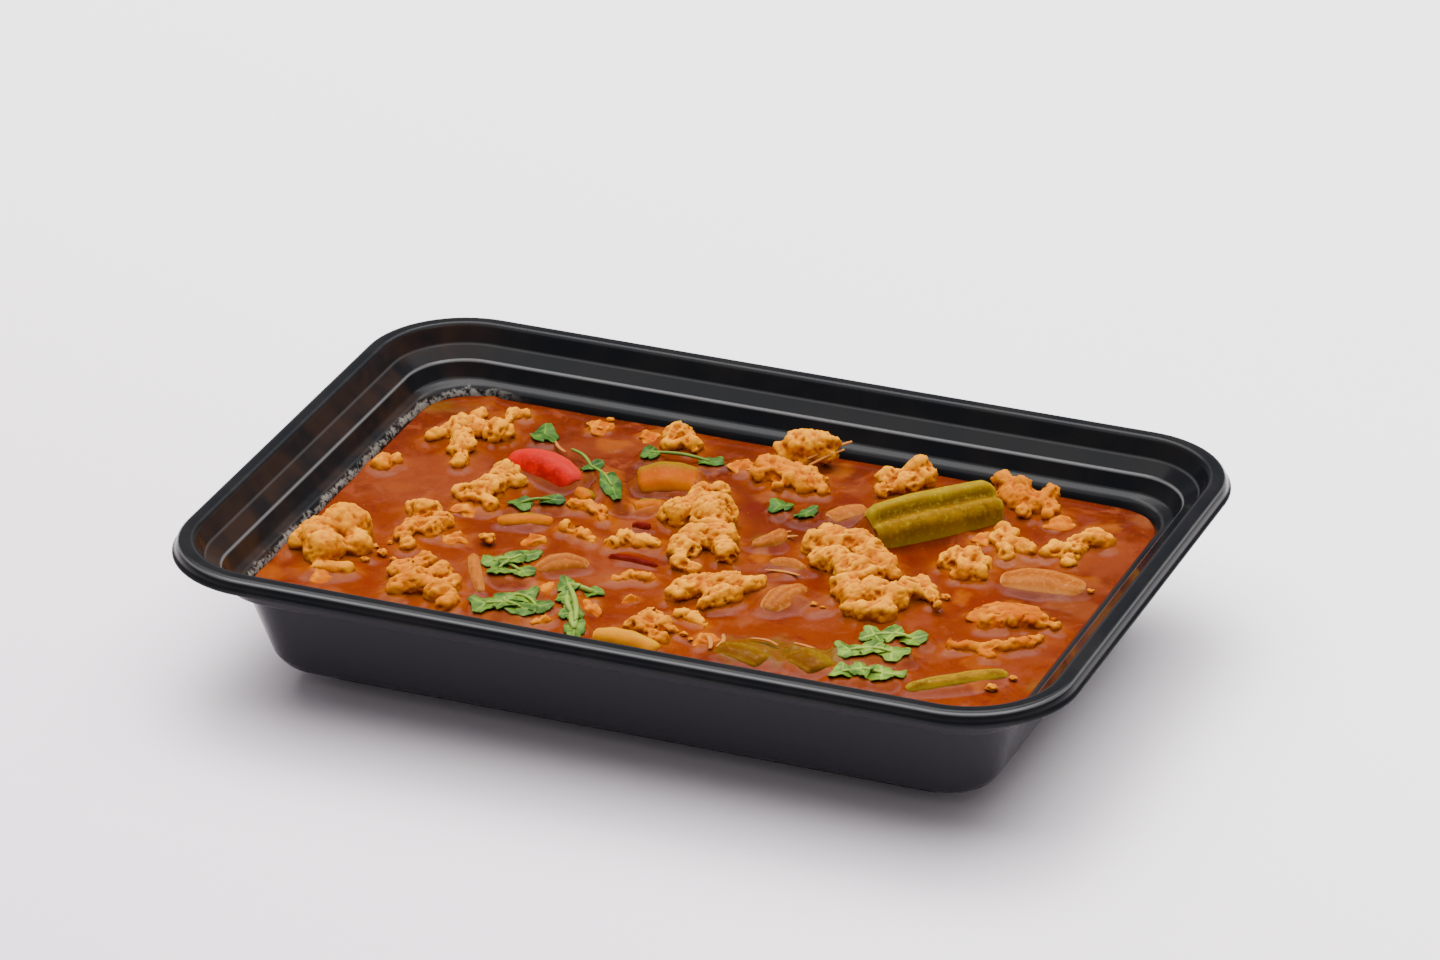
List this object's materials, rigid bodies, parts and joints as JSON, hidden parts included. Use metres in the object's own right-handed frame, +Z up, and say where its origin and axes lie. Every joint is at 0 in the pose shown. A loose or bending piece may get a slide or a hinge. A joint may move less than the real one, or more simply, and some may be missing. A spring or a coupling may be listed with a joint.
{
  "type": "takeaway chicken meal in tray",
  "caption": "Shallow black rectangular takeaway tray filled with battered chicken pieces, peppers, onion and coriander in a glossy orange-red sauce.",
  "frame": {"origin": "centre of the tray's underside, on the surface it stands on", "axes": "+X along the tray's long side, +Y along its short side, away from the near side of the view, +Z up"},
  "size_m": [0.222, 0.1546, 0.0385],
  "materials": {
    "black_plastic": "moulded black plastic, satin",
    "sauce": "glossy thick orange-red sauce",
    "chicken": "golden fried batter, wet with sauce",
    "red_pepper": "cooked, wet, shiny skin",
    "orange_pepper": "cooked, wet, shiny skin",
    "yellow_pepper": "cooked, wet, shiny skin",
    "green_pepper": "cooked, wet, olive-yellow skin",
    "chilli": "cooked, dark red",
    "onion": "cooked, half clear, wet",
    "coriander": "fresh thin leaf"
  },
  "bodies": {
    "root": {"tray": "black_plastic", "sauce": "sauce", "chicken_back_crinkled": "chicken", "chicken_back_left": "chicken", "chicken_back_right": "chicken", "chicken_biggest": "chicken", "chicken_centre": "chicken", "chicken_centre_arm": "chicken", "chicken_far_back": "chicken", "chicken_far_right": "chicken", "chicken_front_flake": "chicken", "chicken_front_left": "chicken", "chicken_front_mid": "chicken", "chicken_front_small": "chicken", "chicken_left_edge": "chicken", "chicken_low_lumps": "chicken", "chicken_lower_mid": "chicken", "chicken_mid_left_lower": "chicken", "chicken_mid_left_upper": "chicken", "chicken_mid_right": "chicken", "chicken_mid_right_low": "chicken", "chicken_orange_dome": "chicken", "chicken_orange_row": "chicken", "chicken_right": "chicken", "chicken_round": "chicken", "chicken_small_left": "chicken", "chicken_small_low": "chicken", "chicken_top_ball": "chicken", "pepper_red": "red_pepper", "pepper_orange": "orange_pepper", "pepper_orange_chip": "orange_pepper", "pepper_orange_low": "orange_pepper", "pepper_strip": "orange_pepper", "pepper_yellow": "yellow_pepper", "pepper_green_wedge": "green_pepper", "pepper_green_strip": "green_pepper", "pepper_olive_left": "green_pepper", "pepper_olive_right": "green_pepper", "chilli_dark": "chilli", "chilli_strip": "chilli", "onion_crescent": "onion", "onion_pale": "onion", "onion_petal": "onion", "onion_slice": "onion", "onion_strip": "onion", "onion_sunken": "onion", "onion_wedge": "onion", "coriander_back": "coriander", "coriander_blade": "coriander", "coriander_centre": "coriander", "coriander_centre_right": "coriander", "coriander_front_a": "coriander", "coriander_front_b": "coriander", "coriander_front_c": "coriander", "coriander_mid": "coriander", "coriander_right_a": "coriander", "coriander_right_b": "coriander", "coriander_right_c": "coriander", "coriander_top": "coriander"}
  },
  "joints": []
}
